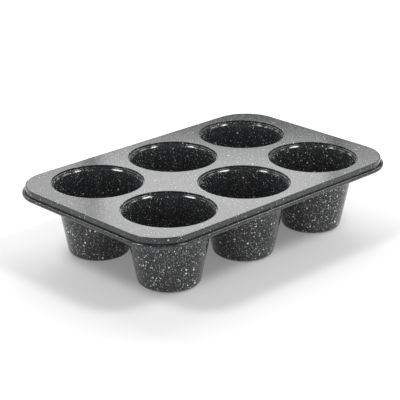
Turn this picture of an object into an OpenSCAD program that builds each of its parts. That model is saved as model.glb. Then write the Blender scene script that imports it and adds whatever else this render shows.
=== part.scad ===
// Six-cup popover pan in coated steel sheet, in millimetres.
// A pressed deck carries two rows of three deep tapered cups, each locked into it by a folded seam,
// and the deck's wall ends in a curl that is rolled round a stiffening wire.
// The pan stands on its cups at z = 0, with the origin below its middle.
// X runs along the length, Y across the width, and the front is -Y.

/* [Deck] */
// Distance between the centres of neighbouring cups
cup_pitch = 100; // [97:0.5:130]
// Deck outside the end cups' collars, measured to the outer face of the wall
end_margin = 20; // [10:0.1:40]
// Deck outside the cups' collars at the long sides, measured to the outer face of the wall
side_margin = 11.2; // [9:0.1:30]
// Radius of the deck's corners, seen from above, at the outer face of the wall
corner_r = 38.3; // [12:0.1:60]
// Outer radius of the bend between the deck's top and its wall
edge_r = 2; // [1.2:0.1:4]
// Thickness of the deck's sheet
deck_sheet = 0.5; // [0.4:0.05:0.7]

/* [Rolled rim] */
// Height from the deck's top down to the centre of the wire
wire_drop = 8.05; // [6:0.05:16]
// Diameter of the stiffening wire
wire_d = 2.6; // [1.8:0.1:3.2]
// Clearance between the wire and the curl
wire_gap = 0.1; // [0.05:0.05:0.2]
// Clearance between the end of the curl and the deck's wall
curl_gap = 0.15; // [0.1:0.05:0.4]

/* [Seam] */
// Clear diameter of the deck's collars
mouth_d = 89.2; // [70:0.2:90]
// Width of the collar's flange, measured from the collar's clear bore
flange_w = 2.7; // [2.5:0.1:3.4]
// Clearance between the folded sheets
seam_gap = 0.1; // [0.05:0.05:0.15]

/* [Cups] */
// Height from the surface that the pan stands on to the deck's top
pan_h = 72.7; // [40:0.5:120]
// Width of the seat between a collar's bore and the inside of the cup's neck
seat_w = 1.2; // [1:0.1:1.5]
// Outer radius of the bend from the seat down into the neck
seat_r = 0.6; // [0.55:0.05:0.8]
// Height of the neck's straight part
neck_h = 0.7; // [0.2:0.1:3]
// Inner radius of the bend from the neck out of its slope
neck_bend_r = 0.2; // [0.1:0.05:0.5]
// How steeply the slope rises from the wall's top to the neck, in degrees
slope_rise = 45; // [40:1:60]
// Outer radius of the bend between the slope and the wall
slope_r = 0.9; // [0.6:0.1:1.5]
// How far inside the collar's bore the wall's inner face would stand if it ran on up to the seat
wall_inset = 1.95; // [1.9:0.05:4]
// Outer diameter of a cup's base, where the lines of wall and base meet
base_d = 59.6; // [40:0.2:70]
// Outer radius of the rounded corner between wall and base
base_corner_r = 5.1; // [2:0.1:12]
// Thickness of the cups' sheet
cup_sheet = 0.4; // [0.3:0.05:0.5]

/* [Hidden] */
$fn = 96;
coating = [0.2, 0.2, 0.21];
bare_steel = [0.72, 0.73, 0.74];
// Most degrees that one facet of a bend's section spans
bend_facet = 12;
// The openings' cutters stand this far clear of the deck's two faces
cutter_over = 1;

// Deck: the cups stand three along and two across
mouth_r = mouth_d / 2;
half_l = cup_pitch + mouth_r + end_margin;
half_w = cup_pitch / 2 + mouth_r + side_margin;
core_x = half_l - corner_r;
core_y = half_w - corner_r;

// Rolled rim: the curl turns round the wire from the wall's foot
wire_r = wire_d / 2;
curl_in_r = wire_r + wire_gap;
curl_open = acos((curl_in_r - curl_gap) / (curl_in_r + deck_sheet));
wire_x = corner_r + curl_in_r;
wire_z = pan_h - wire_drop;

// Seam: the collar and its flange leave just the room that the cup's hem takes up under the deck
collar_h = 2 * deck_sheet + cup_sheet + 2 * seam_gap;
collar_bend_r = collar_h / 2;
opening_r = mouth_r + collar_bend_r;
flange_r = mouth_r + flange_w;
fold_in_r = deck_sheet / 2 + seam_gap;
hem_r = opening_r + seam_gap;

// Cup: the wall's inner line falls from the seat, and its outer line meets the base
half_sheet = cup_sheet / 2;
seat_z = pan_h - collar_h - seam_gap;
wall_top_r = mouth_r - wall_inset;
wall_rise = norm([seat_z, wall_top_r - base_d / 2]);
wall_tilt = atan2(wall_top_r - base_d / 2, seat_z) + asin(cup_sheet / wall_rise);
corner_x = base_d / 2 + base_corner_r * (tan(wall_tilt) - 1 / cos(wall_tilt));
corner_mid_r = base_corner_r - half_sheet;
wall_foot = [corner_x + corner_mid_r * cos(wall_tilt), base_corner_r - corner_mid_r * sin(wall_tilt)];

// The slope runs from the neck's foot until it meets the line of the wall
seat_mid_r = seat_r - half_sheet;
neck_mid_r = neck_bend_r + half_sheet;
slope_mid_r = slope_r - half_sheet;
neck_x = mouth_r - seat_w + half_sheet;
slope_dir = [cos(slope_rise), sin(slope_rise)];
slope_head = [
    neck_x - neck_mid_r * (1 - cos(slope_rise)),
    seat_z - half_sheet - seat_mid_r - neck_h - neck_mid_r * sin(slope_rise)
];
slope_bend = slope_mid_r * [cos(wall_tilt) - sin(slope_rise), cos(slope_rise) - sin(wall_tilt)];
wall_side = [1, -tan(wall_tilt)];
slope_run = (slope_head - slope_bend - wall_foot) * wall_side / (slope_dir * wall_side);
wall_head = slope_head - slope_bend - slope_run * slope_dir;

// A folded sheet's section is a list of steps along its middle. A step is [run, turn, r]:
// a flat of length run, then a bend by turn degrees, left where turn is positive, of radius r inside.
function along(a) = [cos(a), sin(a)];
function left_of(a) = [-sin(a), cos(a)];

// The middle of a bend that starts at p with heading a, as [point, heading] at the end of each facet
function bend_marks(p, a, turn, r) =
    let (
        side = sign(turn),
        facets = ceil(abs(turn) / bend_facet),
        centre = p + side * r * left_of(a)
    )
    [for (k = [1:facets]) let (b = a + turn * k / facets) [centre - side * r * left_of(b), b]];

// Every [point, heading] along the middle of the sheet
function sheet_marks(steps, sheet, p, a, i = 0) =
    i == len(steps) ? [[p, a]] :
    let (
        q = p + steps[i][0] * along(a),
        turn = steps[i][1],
        flat = steps[i][0] > 0 ? [[p, a]] : [],
        bent = turn == 0 ? [] : bend_marks(q, a, turn, steps[i][2] + sheet / 2),
        last = turn == 0 ? [q, a] : bent[len(bent) - 1],
        inner = turn == 0 ? [] : concat([[q, a]], [for (k = [0:1:len(bent) - 2]) bent[k]])
    )
    concat(flat, inner, sheet_marks(steps, sheet, last[0], last[1], i + 1));

// The outline of the sheet: up its left face and back down its right face
function sheet_outline(steps, sheet, start, a) =
    let (marks = sheet_marks(steps, sheet, start, a), half = sheet / 2)
    concat(
        [for (m = marks) m[0] + half * left_of(m[1])],
        [for (i = [len(marks) - 1:-1:0]) marks[i][0] - half * left_of(marks[i][1])]
    );

// From a corner's centre out across the deck, down the wall and round the wire
rim_outline = sheet_outline(
    [
        [corner_r - edge_r, -90, edge_r - deck_sheet],
        [wire_drop - edge_r, 360 - curl_open, curl_in_r]
    ],
    deck_sheet, [0, pan_h - deck_sheet / 2], 0
);

// From the opening's edge down the collar and out along the flange, in two bends
collar_outline = sheet_outline(
    [
        [0, 90, collar_bend_r - deck_sheet],
        [0, 90, collar_bend_r - deck_sheet],
        [flange_w - collar_bend_r, 0, 0]
    ],
    deck_sheet, [opening_r, pan_h - deck_sheet / 2], 180
);

// From the middle of the base up the wall, out over the slope, up the neck, out over the seat,
// round the flange's edge and back over it
cup_outline = sheet_outline(
    [
        [corner_x, 90 - wall_tilt, base_corner_r - cup_sheet],
        [norm(wall_head - wall_foot), wall_tilt + slope_rise - 90, slope_r - cup_sheet],
        [slope_run, 90 - slope_rise, neck_bend_r],
        [neck_h, -90, seat_r - cup_sheet],
        [flange_r - neck_x - seat_mid_r, 180, fold_in_r],
        [flange_r - hem_r, 0, 0]
    ],
    cup_sheet, [0, half_sheet], 0
);

// Carries a section along the deck's four sides and round its four corners.
// The section's x is measured outwards from the centre of a corner.
module round_the_deck() {
    for (side = [0:3]) {
        out = side % 2 == 0 ? core_x : core_y;
        across = side % 2 == 0 ? core_y : core_x;
        rotate([0, 0, 90 * side]) {
            translate([out, 0, 0])
                rotate([90, 0, 0])
                    linear_extrude(height = 2 * across, center = true)
                        children();
            translate([out, across, 0])
                rotate_extrude(angle = 90)
                    children();
        }
    }
}

// The middle of each cup, three along and two across
module at_each_cup() {
    for (column = [-1:1])
        for (row = [-1, 1])
            translate([column * cup_pitch, row * cup_pitch / 2, 0])
                children();
}

module deck() {
    color(coating)
        union() {
            difference() {
                union() {
                    round_the_deck()
                        polygon(rim_outline);
                    translate([-core_x, -core_y, pan_h - deck_sheet])
                        cube([2 * core_x, 2 * core_y, deck_sheet]);
                }
                at_each_cup()
                    translate([0, 0, pan_h - deck_sheet - cutter_over])
                        cylinder(h = deck_sheet + 2 * cutter_over, r = opening_r);
            }
            at_each_cup()
                rotate_extrude()
                    polygon(collar_outline);
        }
}

module rim_wire() {
    color(bare_steel)
        round_the_deck()
            translate([wire_x, wire_z])
                circle(r = wire_r);
}

module cup(column, row) {
    color(coating)
        translate([column * cup_pitch, row * cup_pitch / 2, 0])
            rotate_extrude()
                polygon(cup_outline);
}

deck();
rim_wire();
cup(-1, -1);  // cup_front_left
cup(0, -1);  // cup_front_middle
cup(1, -1);  // cup_front_right
cup(-1, 1);  // cup_back_left
cup(0, 1);  // cup_back_middle
cup(1, 1);  // cup_back_right
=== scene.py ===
# %% [markdown]
# # A popover pan in speckled coating
# A popover pan is a flat sheet of steel, the deck, that carries six deep cups. The deck's wall ends in a
# curl that is rolled round a wire, and each cup hangs in the deck by a folded seam.
# The measured model of the pan is loaded first, and each piece made here takes the place of one of its
# pieces. Four small bends are drawn up to 0.8 mm tighter or rounder than measured, and the cups' necks 0.3
# mm shorter, because that is how they catch the light in the photograph. Every other size is the measured
# one. The size of the measured box is kept.

# %% Load the measured pan
import math

import bmesh
import bpy
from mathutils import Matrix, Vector


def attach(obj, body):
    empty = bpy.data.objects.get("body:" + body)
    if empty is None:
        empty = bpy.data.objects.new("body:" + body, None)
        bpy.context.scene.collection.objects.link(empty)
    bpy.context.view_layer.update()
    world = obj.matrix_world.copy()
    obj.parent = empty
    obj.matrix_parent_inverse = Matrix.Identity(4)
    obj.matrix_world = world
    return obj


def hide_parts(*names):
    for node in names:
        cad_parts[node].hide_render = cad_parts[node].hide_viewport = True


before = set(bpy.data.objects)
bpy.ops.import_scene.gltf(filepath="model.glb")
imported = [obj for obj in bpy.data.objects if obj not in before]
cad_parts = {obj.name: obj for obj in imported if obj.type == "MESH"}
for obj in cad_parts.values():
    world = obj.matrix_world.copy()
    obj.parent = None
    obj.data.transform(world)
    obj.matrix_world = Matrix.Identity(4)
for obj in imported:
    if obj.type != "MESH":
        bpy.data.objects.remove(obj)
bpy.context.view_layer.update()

# %% [markdown]
# ## Camera
# The photograph was taken from a little above the pan, with its near corner towards the camera.
# The camera's direction, distance and focal length were found from the six round openings, which show as
# ellipses: only one camera gives all six their width, their tilt and their places at once.

# %% Camera
MM = 0.001
CAMERA_AT = Vector((-933.1, -939.9, 566.2)) * MM
CAMERA_TURN = math.radians(-44.469)
CAMERA_DOWN = math.radians(21.698)
LENS = 128.57
SENSOR_WIDTH = 36
NEAREST_SEEN = 0.01

camera_data = bpy.data.cameras.new("camera")
camera_data.lens = LENS
camera_data.sensor_width = SENSOR_WIDTH
camera_data.clip_start = NEAREST_SEEN
camera = bpy.data.objects.new("camera", camera_data)
camera.location = CAMERA_AT
camera.rotation_euler = (math.pi / 2 - CAMERA_DOWN, 0, CAMERA_TURN)
bpy.context.scene.collection.objects.link(camera)
bpy.context.scene.camera = camera
print("camera", [round(c, 3) for c in camera.location], "lens", LENS, "mm")

# %% [markdown]
# ## Writing a finish as sums
# A procedural finish is a network of nodes. Wiring one by hand hides what it says, so a small class
# stands for the value that a socket gives. It knows how to add, multiply and compare, and each sum
# that is written with it adds the Math node that works it out.

# %% Values that can be used in sums
class Value:
    """What one socket gives, ready for use in sums."""

    def __init__(self, net, socket):
        self.net, self.socket = net, socket

    def maths(self, operation, *rest):
        return self.net.node("ShaderNodeMath", {"operation": operation}, dict(enumerate([self, *rest])))

    def __add__(self, other):
        return self.maths("ADD", other)

    def __mul__(self, other):
        return self.maths("MULTIPLY", other)

    def __sub__(self, other):
        return self.maths("SUBTRACT", other)

    def __rsub__(self, other):
        return self.net.node("ShaderNodeMath", {"operation": "SUBTRACT"}, {0: other, 1: self})

    __radd__ = __add__
    __rmul__ = __mul__

    def at_most(self, other):
        return self.maths("MINIMUM", other)

    def at_least(self, other):
        return self.maths("MAXIMUM", other)

    def rising(self, low, high):
        """0 below low, 1 above high, and smooth between them."""
        return self.net.node(
            "ShaderNodeMapRange",
            {"interpolation_type": "SMOOTHSTEP"},
            {"Value": self, "From Min": low, "From Max": high},
        )


print("sums ready:", [name for name in vars(Value) if not name.startswith("__")])

# %% [markdown]
# ## Adding the other nodes
# Colours, patterns and shaders have nodes of their own kinds. They all come from one method, which takes
# the kind of node, its settings, and the numbers or values for its sockets. So a finish can be read
# from top to bottom, in the order in which it is made up.

# %% Nodes
class Net:
    """The nodes of a material or of the world."""

    def __init__(self, owner):
        owner.use_nodes = True
        self.tree = owner.node_tree
        self.tree.nodes.clear()

    def node(self, kind, settings=None, sockets=None, out=0):
        """Adds a node and gives the value of one of its outputs, by number or name."""
        made = self.tree.nodes.new(kind)
        for name, value in (settings or {}).items():
            setattr(made, name, value)
        for name, value in (sockets or {}).items():
            if isinstance(value, Value):
                self.tree.links.new(value.socket, made.inputs[name])
            else:
                made.inputs[name].default_value = value
        return Value(self, made.outputs[out]) if made.outputs else made

    def vectors(self, operation, sockets, out="Vector"):
        return self.node("ShaderNodeVectorMath", {"operation": operation}, sockets, out)

    def mix_colour(self, amount, first, second):
        """Mixes two colours. On a Mix node they are sockets 6 and 7, and the result is output 2."""
        settings = {"data_type": "RGBA"}
        return self.node("ShaderNodeMix", settings, {"Factor": amount, 6: first, 7: second}, out=2)

    def ray_is(self, kind):
        """1 for a ray of that kind, such as Camera or Glossy, and 0 for any other."""
        return self.node("ShaderNodeLightPath", out=f"Is {kind} Ray")


print("nodes ready:", [name for name in vars(Net) if not name.startswith("__")])

# %% [markdown]
# ## Floor
# The pan stands on a white floor that runs on into a white background, so nothing but its shadow shows
# where the floor is. One large flat face does for that. It lies a hair below the cups' bases, so that the
# two don't flicker through each other.

# %% Floor
FLOOR_HALF = 3.0
FLOOR_DROP = 0.1 * MM

bm = bmesh.new()
bmesh.ops.create_grid(bm, x_segments=1, y_segments=1, size=FLOOR_HALF)
bmesh.ops.translate(bm, verts=bm.verts, vec=(0, 0, -FLOOR_DROP))
floor_mesh = bpy.data.meshes.new("floor")
bm.to_mesh(floor_mesh)
bm.free()
floor = bpy.data.objects.new("floor", floor_mesh)
bpy.context.scene.collection.objects.link(floor)
print("floor", 2 * FLOOR_HALF, "m wide")

# %% [markdown]
# ## The floor's finish
# The floor is an ordinary matt white surface with a little light of its own, which only the camera and
# mirror rays see. That lifts it to the background's white and leaves the shadow soft and grey. Away from
# the pan the floor's own light grows to full white, so a low view has no grey horizon.

# %% Floor's finish
FLOOR_MATT = 0.7
GLOW_NEAR_PAN = 0.19
GLOW_GROWS_FROM = 0.3
GLOW_FULL_AT = 0.8


def grey(level):
    return (level, level, level, 1)


floor_paint = bpy.data.materials.new("floor_white")
net = Net(floor_paint)
matt = net.node("ShaderNodeBsdfDiffuse", None, {"Color": grey(FLOOR_MATT)})
seen = net.ray_is("Camera").at_least(net.ray_is("Glossy"))
place = net.node("ShaderNodeTexCoord", out="Object")
reach = net.vectors("LENGTH", {0: place}, out="Value")
own_light = GLOW_NEAR_PAN + (1 - GLOW_NEAR_PAN) * reach.rising(GLOW_GROWS_FROM, GLOW_FULL_AT)
glow = net.node("ShaderNodeEmission", None, {"Color": grey(1), "Strength": seen * own_light})
lit = net.node("ShaderNodeAddShader", None, {0: matt, 1: glow})
net.node("ShaderNodeOutputMaterial", None, {"Surface": lit})
floor_mesh.materials.append(floor_paint)
print("floor's own light grows from", GLOW_NEAR_PAN, "to 1 at", GLOW_FULL_AT, "m")

# %% [markdown]
# ## Lamps
# The coating is dark and glossy, so what shows on it is mostly what it mirrors, and each lamp is there for
# one thing that it draws. The back panel, a third of the way up behind the pan, is what the flat deck
# mirrors, and the dimmer panels on its left and right grey the deck's two ends. The top panel throws the
# soft shadow. The two small strong streak lamps draw the short bright lines inside the openings, and the
# wings and strips draw the paler lines along the curl and the seats.
# The camera looks along VIEW_HEADING, counted in degrees from +Y towards +X. A lamp's own heading is
# counted on from there, to the right, so that 0 is straight behind the pan as the camera sees it.

# %% Lamps
VIEW_HEADING = 44.5
AIM_HEIGHT = 0.07
LAMPS = [
    # name, heading, rise, distance, width and height, level
    ("back_panel", 0.75, 29.2, 2.2, (0.591, 0.8), 3.15),
    ("left_of_back", -11.75, 29.2, 2.2, (0.256, 0.8), 2.4),
    ("right_of_back", 11.65, 29.2, 2.2, (0.158, 0.8), 2.4),
    ("top_panel", 0, 46, 2.2, (1.9, 1.1), 3.0),
    ("left_streak", -105, 54.5, 2.4, (0.6, 0.6), 21),
    ("right_streak", 105, 54.5, 2.4, (0.6, 0.6), 22),
    ("left_wing", -66, 44, 1.6, (0.4, 0.4), 3),
    ("right_wing", 66, 44, 1.6, (0.4, 0.4), 5),
    ("left_strip", -37, 38, 1.6, (0.35, 0.75), 5),
    ("right_strip", 37, 38, 1.6, (0.35, 0.75), 5),
]


def panel(name, heading, rise, distance, size, level):
    """A soft rectangular lamp that faces the pan and shines at that level, where 1 is white."""
    data = bpy.data.lights.new(name, "AREA")
    data.shape = "RECTANGLE"
    data.size, data.size_y = size
    data.energy = level * size[0] * size[1] * math.pi
    lamp = bpy.data.objects.new(name, data)
    h, r = math.radians(VIEW_HEADING + heading), math.radians(rise)
    away = Vector((math.sin(h) * math.cos(r), math.cos(h) * math.cos(r), math.sin(r)))
    lamp.location = Vector((0, 0, AIM_HEIGHT)) + distance * away
    lamp.rotation_euler = away.to_track_quat("Z", "Y").to_euler()
    bpy.context.scene.collection.objects.link(lamp)


for settings in LAMPS:
    panel(*settings)
print("lamps", [name for name, *_ in LAMPS])

# %% [markdown]
# ## World
# The world lights the cups' walls, which face sideways and so mirror what stands low round the pan. It
# is a low ring of white, stronger at the sides, most of all on the right, and gone behind the pan, where it
# would show in the deck. Mirror rays see it at a limited level, so the deck doesn't burn out in a
# low view, and the camera sees nothing darker than white.

# %% World
RING_FADES_FROM = 0.15
RING_GONE_AT = 0.36
RING_LEVEL = 2.2
MORE_AT_SIDES = 1.3
MORE_ON_RIGHT = 0.4
SKY_LEVEL = 0.05
MIRROR_LIMIT = 1.5
FAR_ABOVE = 10

world = bpy.context.scene.world or bpy.data.worlds.new("studio")
bpy.context.scene.world = world
net = Net(world)
direction = net.node("ShaderNodeTexCoord", out="Generated")
height = net.node("ShaderNodeSeparateXYZ", None, {0: direction}, out="Z")
ring = 1 - height.rising(RING_FADES_FROM, RING_GONE_AT)
heading = math.radians(VIEW_HEADING)
right_hand = (math.cos(heading), -math.sin(heading), 0)
straight_on = (math.sin(heading), math.cos(heading), 0)
side = net.vectors("DOT_PRODUCT", {0: direction, 1: right_hand}, out="Value")
behind = net.vectors("DOT_PRODUCT", {0: direction, 1: straight_on}, out="Value").at_least(0)
round_about = side * side * MORE_AT_SIDES + side * MORE_ON_RIGHT + RING_LEVEL
level = ring * round_about * (1 - behind * behind) + SKY_LEVEL
level = level.at_most(MIRROR_LIMIT + FAR_ABOVE * (1 - net.ray_is("Glossy")))
level = level.at_least(net.ray_is("Camera"))
sky = net.node("ShaderNodeBackground", None, {"Color": grey(1), "Strength": level})
net.node("ShaderNodeOutputWorld", None, {"Surface": sky})
bpy.context.scene.view_settings.view_transform = "Standard"
print("world has", len(world.node_tree.nodes), "nodes")

# %% [markdown]
# ## Droplets of the coating
# The non-stick coating is sprayed on: a charcoal base coat, and over it flecks of a white coat that leave
# the gun as droplets. A plain noise would give blobs without a centre, so a cell pattern is used, which
# gives each fleck a centre and a random size of its own. The place at which the pattern is read is
# ruffled a little by a noise, because a real droplet isn't perfectly round.

# %% Droplets
RUFFLE_WAVES = 900
RUFFLE = 0.7 * MM
SOFT_EDGE = 0.12


def noise(net, place, waves, detail, out=0):
    """A cloudy noise with that many waves to a metre."""
    return net.node("ShaderNodeTexNoise", None, {"Vector": place, "Scale": waves, "Detail": detail}, out)


def ruffled(net, place):
    """The place, moved a little to and fro."""
    ruffle = noise(net, place, RUFFLE_WAVES, 1, out="Color")
    ruffle = net.vectors("SUBTRACT", {0: ruffle, 1: (0.5, 0.5, 0.5)})
    ruffle = net.vectors("SCALE", {0: ruffle, "Scale": RUFFLE})
    return net.vectors("ADD", {0: place, 1: ruffle})


def flecks(net, place, spread_and_light, cell, largest, share):
    """Droplets in cells of that size in mm, of up to that radius in mm, in that share of the cells. The
    spread makes all of them larger; above 1 it is painted light. Their edges fade over SOFT_EDGE mm."""
    settings = {"feature": "F1"}
    sockets = {"Vector": place, "Scale": 1 / (cell * MM), "Randomness": 1}
    reach = net.node("ShaderNodeTexVoronoi", settings, sockets, out="Distance")
    chance = net.node("ShaderNodeTexVoronoi", settings, sockets, out="Color")
    chance = net.node("ShaderNodeSeparateColor", None, {0: chance})
    radius = (chance - (1 - share)) * (spread_and_light * largest / cell / share)
    return ((radius - reach) * (cell / SOFT_EDGE)).at_least(0).at_most(1)


print("a droplet's edge fades over", SOFT_EDGE, "mm")

# %% [markdown]
# ## Granite coating
# There are three things to paint: large flecks, some scattered and some gathered in loose clouds, fine
# flecks nearly everywhere, and the base coat's own grain. They are laid over each other as colours, as the
# coats are, and the coating's slight orange peel is a bump.
# The same coating is mixed three times, with the whiteness and the size of its flecks as the only
# differences, and these differences are painted light and shade: the cups' outsides get the largest flecks
# as painted light on their dim walls, their insides slightly fainter flecks as painted shade, and the deck
# the faintest flecks as painted shade on its brightly lit top.

# %% Coating
BIG_DROPS = {"cell": 4.2, "largest": 0.85, "share": 0.5}
SMALL_DROPS = {"cell": 1.7, "largest": 0.52, "share": 0.7}
MIST = {"cell": 1.1, "largest": 0.45, "share": 0.7}
CLOUD_WAVES, GRAIN_WAVES, PEEL_WAVES = 55, 1400, 700
CLOUD_EDGES, CLOUD_STRENGTH, BETWEEN_CLOUDS = (0.4, 0.6), 0.8, 0.3
GRAIN_EDGES = (0.3, 0.7)
DARK_CHARCOAL = (0.008, 0.0085, 0.009, 1)
PALE_CHARCOAL = (0.04, 0.042, 0.045, 1)
MIST_WHITE = (0.4, 0.41, 0.4, 1)
DROP_WHITE = (0.85, 0.85, 0.84, 1)
MIST_STRENGTH = 0.7
PEEL_HEIGHT = 0.02 * MM
DROPS_STAND_UP = 0.2
GLOSS_ROUGHNESS, GRAIN_ROUGHNESS = 0.1, 0.06
COATING_IOR = 1.5


def coating(name, whiteness_and_shade, spread_and_light):
    """The paint, with its flecks mixed in by that whiteness and made larger by that spread. A whiteness
    below 1 is painted shade, and a spread above 1 is painted light.
    """
    paint = bpy.data.materials.new(name)
    net = Net(paint)
    place = net.node("ShaderNodeTexCoord", out="Object")
    uneven = ruffled(net, place)
    clouds = noise(net, place, CLOUD_WAVES, 2).rising(*CLOUD_EDGES)
    gathered = (clouds * CLOUD_STRENGTH + BETWEEN_CLOUDS).at_most(1)
    small = flecks(net, uneven, spread_and_light, **SMALL_DROPS) * gathered
    large = flecks(net, uneven, spread_and_light, **BIG_DROPS).at_least(small)
    fine = flecks(net, uneven, spread_and_light, **MIST)
    grain = noise(net, place, GRAIN_WAVES, 2)
    base = net.mix_colour(grain.rising(*GRAIN_EDGES), DARK_CHARCOAL, PALE_CHARCOAL)
    misted = net.mix_colour(fine * (MIST_STRENGTH * whiteness_and_shade), base, MIST_WHITE)
    colour = net.mix_colour(large * whiteness_and_shade, misted, DROP_WHITE)
    relief = noise(net, place, PEEL_WAVES, 1) + large * DROPS_STAND_UP
    bump = net.node("ShaderNodeBump", None, {"Strength": 1, "Distance": PEEL_HEIGHT, "Height": relief})
    roughness = GLOSS_ROUGHNESS + GRAIN_ROUGHNESS * grain
    sockets = {"Base Color": colour, "Roughness": roughness, "IOR": COATING_IOR, "Normal": bump}
    shader = net.node("ShaderNodeBsdfPrincipled", None, sockets)
    net.node("ShaderNodeOutputMaterial", None, {"Surface": shader})
    return paint


# Painted light and shade: the outsides' larger flecks brighten their dim walls, the insides' fainter flecks
# darken them a little, and the deck's much fainter flecks dim its brightly lit top.
outer_granite_painted_light = coating("outer_granite_painted_light", whiteness_and_shade=1, spread_and_light=1.25)
inner_granite_painted_shade = coating("inner_granite_painted_shade", whiteness_and_shade=0.9, spread_and_light=1)
deck_granite_painted_shade = coating("deck_granite_painted_shade", whiteness_and_shade=0.5, spread_and_light=1)
print("coating has", len(deck_granite_painted_shade.node_tree.nodes), "nodes")

# %% [markdown]
# ## Steel wire
# The wire in the curl is bare drawn steel, with a fine uneven sheen. The curl closes it in, all but a slot
# between the curl's end and the wall, so the measured wire is kept as it is and only gets this finish.

# %% Steel
SHEEN_WAVES = 700
DULL_STEEL = (0.42, 0.43, 0.44, 1)
BRIGHT_STEEL = (0.66, 0.67, 0.68, 1)
STEEL_ROUGHNESS, SHEEN_ROUGHNESS = 0.25, 0.2

wire_steel = bpy.data.materials.new("steel_wire")
net = Net(wire_steel)
sheen = noise(net, net.node("ShaderNodeTexCoord", out="Object"), SHEEN_WAVES, 3)
colour = net.mix_colour(sheen, DULL_STEEL, BRIGHT_STEEL)
roughness = STEEL_ROUGHNESS + SHEEN_ROUGHNESS * sheen
sockets = {"Base Color": colour, "Metallic": 1, "Roughness": roughness}
shader = net.node("ShaderNodeBsdfPrincipled", None, sockets)
net.node("ShaderNodeOutputMaterial", None, {"Surface": shader})

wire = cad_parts["rim_wire"]
for slot in wire.material_slots:
    slot.material = wire_steel
print("wire keeps its measured shape of", len(wire.data.vertices), "points")

# %% [markdown]
# ## Folding sheet steel
# Everything on the pan is one thin sheet that is bent along its section: a flat run, a bend, a flat run.
# A section can be drawn the same way. A single vertex is pulled out along the run and then spun round the
# centre of the bend, and so on, which leaves the line through the middle of the sheet.
# Later the line is swept, and a Solidify modifier gives the surface the sheet's thickness.

# %% Section from runs and bends
BEND_FACET = 8


def fold(bm, start, heading, steps):
    """Draws a section in the XZ plane, in mm, and returns its points. A step is (run, turn, radius of the
    sheet's middle), and a positive turn is to the left."""
    before = set(bm.verts)
    tip = bm.verts.new(Vector((start[0], 0, start[1])) * MM)
    for run, turn, radius in steps:
        a = math.radians(heading)
        if run:
            pulled = bmesh.ops.extrude_vert_indiv(bm, verts=[tip])["verts"]
            bmesh.ops.translate(bm, verts=pulled, vec=Vector((math.cos(a), 0, math.sin(a))) * run * MM)
            tip = pulled[0]
        if turn:
            side = math.copysign(1, turn)
            centre = tip.co + Vector((-math.sin(a), 0, math.cos(a))) * side * radius * MM
            bent = bmesh.ops.spin(
                bm, geom=[tip], cent=centre, axis=(0, -1, 0), dvec=(0, 0, 0), angle=math.radians(turn),
                steps=math.ceil(abs(turn) / BEND_FACET), use_merge=False, use_duplicate=False,
            )
            tip = bent["geom_last"][0]
            heading += turn
    return [v for v in bm.verts if v not in before]


print("one bend facet spans at most", BEND_FACET, "degrees")

# %% [markdown]
# ## Spinning a section
# A cup is round, and so is the collar of each opening. Such a section is drawn beside the upright axis
# of its own cup and spun once round it, which is how the real sheet is drawn through a round die.

# %% Spin
TURN_STEPS = 128


def edges_among(bm, verts):
    return [e for e in bm.edges if e.verts[0] in verts and e.verts[1] in verts]


def turn_section(bm, start, steps, heading, centre):
    """Folds a section beside an upright axis at centre, in mm, and spins it once round that axis."""
    line = fold(bm, start, heading, steps)
    axis_at = Vector((*centre, 0)) * MM
    bmesh.ops.translate(bm, verts=line, vec=axis_at)
    bmesh.ops.spin(
        bm, geom=line + edges_among(bm, line), cent=axis_at, axis=(0, 0, 1), dvec=(0, 0, 0),
        angle=math.tau, steps=TURN_STEPS, use_merge=True, use_duplicate=False,
    )


print("a full turn has", TURN_STEPS, "steps")

# %% [markdown]
# ## Finishing a piece
# A swept surface has points that lie on each other, at the seam of the turn and on the axis, so they are
# merged first, and what no face uses is deleted. Solidify then makes the sheet, half its thickness to each
# side of the drawn line, and gives the inner side a coating of its own where there are two. Weighted
# normals let the flats stay flat and put all the shading into the bends.

# %% Finish a sheet
WELD = 0.002 * MM


def finish_sheet(bm, name, sheet, paints, node):
    """Gives the swept surface its thickness, its coating and its place in the pan."""
    bmesh.ops.remove_doubles(bm, verts=bm.verts, dist=WELD)
    loose = [v for v in bm.verts if not v.link_faces]
    bmesh.ops.delete(bm, geom=loose, context="VERTS")
    bmesh.ops.recalc_face_normals(bm, faces=bm.faces)
    for face in bm.faces:
        face.smooth = True
    mesh = bpy.data.meshes.new(name)
    bm.to_mesh(mesh)
    bm.free()
    for paint in paints:
        mesh.materials.append(paint)
    piece = bpy.data.objects.new(name, mesh)
    bpy.context.scene.collection.objects.link(piece)
    wall = piece.modifiers.new("sheet", "SOLIDIFY")
    wall.thickness = sheet * MM
    wall.offset = 0
    wall.material_offset = len(paints) - 1
    wall.use_even_offset = True
    flats = piece.modifiers.new("flats", "WEIGHTED_NORMAL")
    flats.mode = "FACE_AREA"
    flats.keep_sharp = True
    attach(piece, "root")
    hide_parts(node)
    return piece


print("points closer than", WELD / MM, "mm are merged")

# %% [markdown]
# ## Sizes of the seam and the cups
# Deck and cup meet in a lock seam, so they share its sizes. The deck's collar goes down from the
# opening and ends in a flange. The cup's seat comes out under the flange, and its hem folds back over it.
# All of these are the measured sizes in millimetres, but for the seat's bend and the neck.

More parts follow.
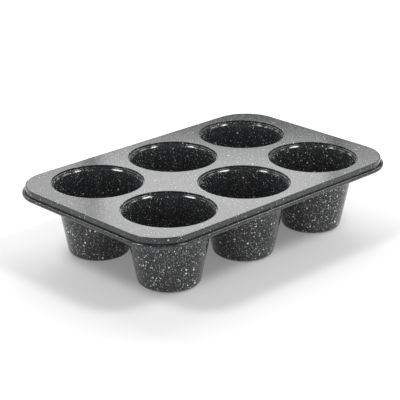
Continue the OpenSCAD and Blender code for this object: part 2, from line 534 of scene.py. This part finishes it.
# %% Sizes of seam and cups
DECK_SHEET = 0.5
CUP_SHEET = 0.4
PAN_HEIGHT = 72.7
CUP_PITCH = 100
MOUTH_R = 44.6
TOP_SETBACK = 0.8
OPENING_R = MOUTH_R + TOP_SETBACK
COLLAR_H = 1.6
FLANGE_W = 2.7
FLANGE_R = MOUTH_R + FLANGE_W
SEAM_GAP = 0.1
FOLD_R = DECK_SHEET / 2 + SEAM_GAP
HEM_R = OPENING_R + SEAM_GAP
SEAT_Z = PAN_HEIGHT - COLLAR_H - SEAM_GAP
SEAT_W = 1.2
SEAT_BEND = 0.9
NECK_H = 0.4
NECK_BEND = 0.2
STEP_RISE = 45
STEP_BEND = 0.9
WALL_INSET = 1.95
WALL_TOP_R = MOUTH_R - WALL_INSET
BASE_R = 29.8
BASE_BEND = 5.1
print("seat at a height of", round(SEAT_Z, 2), "mm, hem from a radius of", round(HEM_R, 2), "mm")

# %% [markdown]
# ## Section of a cup
# Each cup is drawn from sheet into a deep tapered shape with a flat base. From the middle of the base the
# section runs out, turns up into the wall, which leans out by about ten degrees, and turns out again up a
# slope of 45 degrees. Above the slope are a short upright neck and a flat seat, and there the sheet folds
# back over the edge of the deck's flange. That fold is the seam: it locks the cup into the deck. The
# slope draws the bright streaks inside each opening, and the step from neck to seat the dark line.
# The bends take up room, so where the wall and the slope meet is worked out from both of their ends.

# %% Section of a cup
base_mid = BASE_BEND - CUP_SHEET / 2
step_mid = STEP_BEND - CUP_SHEET / 2
neck_mid = NECK_BEND + CUP_SHEET / 2
seat_mid = SEAT_BEND - CUP_SHEET / 2
wall_out = WALL_TOP_R - BASE_R
lean = math.atan2(wall_out, SEAT_Z) + math.asin(CUP_SHEET / math.hypot(SEAT_Z, wall_out))
rise = math.radians(STEP_RISE)

base_flat = BASE_R + BASE_BEND * (math.tan(lean) - 1 / math.cos(lean))
wall_foot = Vector((base_flat + base_mid * math.cos(lean), BASE_BEND - base_mid * math.sin(lean)))
neck_x = MOUTH_R - SEAT_W + CUP_SHEET / 2
step_top = Vector((
    neck_x - neck_mid * (1 - math.cos(rise)),
    SEAT_Z - CUP_SHEET / 2 - seat_mid - NECK_H - neck_mid * math.sin(rise),
))
bend_over = step_mid * Vector((math.cos(lean) - math.sin(rise), math.cos(rise) - math.sin(lean)))
off_wall = (step_top - bend_over - wall_foot).dot(Vector((1, -math.tan(lean))))
step_run = off_wall / (math.cos(rise) - math.tan(lean) * math.sin(rise))
wall_head = step_top - bend_over - step_run * Vector((math.cos(rise), math.sin(rise)))

upright = 90 - math.degrees(lean)
CUP_STEPS = [
    (base_flat, upright, base_mid),
    ((wall_head - wall_foot).length, -(upright - STEP_RISE), step_mid),
    (step_run, 90 - STEP_RISE, neck_mid),
    (NECK_H, -90, seat_mid),
    (FLANGE_R - neck_x - seat_mid, 180, FOLD_R + CUP_SHEET / 2),
    (FLANGE_R - HEM_R, 0, 0),
]
print("wall leans", round(math.degrees(lean), 2), "degrees, slope is", round(step_run, 2), "mm long")

# %% [markdown]
# ## Cups
# The six cups come out of one die, so the one section makes them all, each at its own place in the two rows
# of three. Outside they have the coating with the most and largest flecks, as painted light on their walls,
# and inside the one with fainter flecks, as painted shade.

# %% Cups
for row, y in (("front", -1), ("back", 1)):
    for column, x in (("left", -1), ("middle", 0), ("right", 1)):
        name = f"cup_{row}_{column}"
        bm = bmesh.new()
        turn_section(bm, (0, CUP_SHEET / 2), CUP_STEPS, 0, (x * CUP_PITCH, y * CUP_PITCH / 2))
        cup = finish_sheet(bm, f"{name}_sheet", CUP_SHEET, [outer_granite_painted_light, inner_granite_painted_shade], name)
        print(name, len(cup.data.vertices), "points on the sheet's middle")

# %% [markdown]
# ## Sections of the deck
# The deck is one pressed sheet, so it is one surface here too. Its rim section runs from the flat over the
# edge, down the wall and round the wire. Each opening has a short collar: one bend down, one bend out,
# and then the flange that the seam grips. The curl is drawn a hair tighter than measured, because
# the corners of its facets would stand out of the measured box otherwise.

# %% Sections of the deck
EDGE_R = 1.2
WIRE_R = 1.3
WIRE_GAP = 0.1
WIRE_DROP = 8.05
CURL_GAP = 0.15
CURL_IN = WIRE_R + WIRE_GAP
FACET_ROOM = 0.005
COLLAR_BEND = 0.5

curl_turn = 360 - math.degrees(math.acos((CURL_IN - CURL_GAP) / (CURL_IN + DECK_SHEET)))
RIM_STEPS = [
    (0, -90, EDGE_R - DECK_SHEET / 2),
    (WIRE_DROP - EDGE_R, curl_turn, CURL_IN + DECK_SHEET / 2 - FACET_ROOM),
]
COLLAR_STEPS = [
    (0, 90, COLLAR_BEND - DECK_SHEET / 2),
    (COLLAR_H - 2 * COLLAR_BEND, 90, COLLAR_BEND - DECK_SHEET / 2),
    (FLANGE_R - OPENING_R, 0, 0),
]
print("curl turns", round(curl_turn, 1), "degrees round the wire")

# %% [markdown]
# ## Dragging the rim round
# The rim follows a rounded rectangle, so its section is dragged along the four sides and spun round
# the four corners. A bevelled curve could do that too, but here every facet lies where it is wanted, and
# the flat top joins the rim point to point. The sweep starts and ends at the middle of the right side.

# %% Drag round
CORNER_R = 38.3
END_MARGIN = 20.0
SIDE_MARGIN = 11.2
CORNER_STEPS = 32
core_x = CUP_PITCH + MOUTH_R + END_MARGIN - CORNER_R
core_y = CUP_PITCH / 2 + MOUTH_R + SIDE_MARGIN - CORNER_R


def of_kind(geometry, kind):
    return [g for g in geometry if isinstance(g, kind)]


def drag(bm, edges, by):
    """Pulls edges by that many mm, and returns the new points and edges."""
    pulled = bmesh.ops.extrude_edge_only(bm, edges=edges)["geom"]
    verts = of_kind(pulled, bmesh.types.BMVert)
    bmesh.ops.translate(bm, verts=verts, vec=by * MM)
    return verts, of_kind(pulled, bmesh.types.BMEdge)


def drag_round(bm, line):
    """Takes a section at the middle of the right side once round the deck, back to where it started."""
    start = at = Vector((core_x, 0, 0))
    edges = edges_among(bm, line)
    for x, y in ((1, 1), (-1, 1), (-1, -1), (1, -1)):
        corner = Vector((x * core_x, y * core_y, 0))
        verts, edges = drag(bm, edges, corner - at)
        turned = bmesh.ops.spin(
            bm, geom=verts + edges, cent=corner * MM, axis=(0, 0, 1), dvec=(0, 0, 0),
            angle=math.pi / 2, steps=CORNER_STEPS, use_merge=False, use_duplicate=False,
        )
        edges = of_kind(turned["geom_last"], bmesh.types.BMEdge)
        at = corner
    drag(bm, edges, start - at)
    bmesh.ops.remove_doubles(bm, verts=bm.verts, dist=WELD)


print("corners' centres at", round(core_x, 2), "and", round(core_y, 2), "mm")

# %% [markdown]
# ## Deck
# The rim and the six collars are drawn into one mesh. What is left between them is flat, and Triangle Fill
# closes it with the six holes left open, which saves cutting round holes out of a flat face.

# %% Deck
deck_z = PAN_HEIGHT - DECK_SHEET / 2
bm = bmesh.new()
drag_round(bm, fold(bm, (core_x + CORNER_R - EDGE_R, deck_z), 0, RIM_STEPS))
for x in (-1, 0, 1):
    for y in (-1, 1):
        turn_section(bm, (OPENING_R, deck_z), COLLAR_STEPS, 180, (x * CUP_PITCH, y * CUP_PITCH / 2))
bmesh.ops.remove_doubles(bm, verts=bm.verts, dist=WELD)
flat_verts = {v for v in bm.verts if abs(v.co.z - deck_z * MM) < WELD}
flat_edges = [e for e in bm.edges if e.is_boundary and flat_verts.issuperset(e.verts)]
bmesh.ops.triangle_fill(bm, use_beauty=True, edges=flat_edges, normal=(0, 0, 1))
# The deck takes the coating with the faintest flecks, as painted shade on its brightly lit top.
deck = finish_sheet(bm, "deck_sheet", DECK_SHEET, [deck_granite_painted_shade], "deck")
print("deck", len(deck.data.vertices), "points, flat closed over", len(flat_edges), "edges")

# %% [markdown]
# ## Closing the lesson
# The view layer is brought up to date once more, so that every piece stands where it was put.

# %% Update the view layer
bpy.context.view_layer.update()
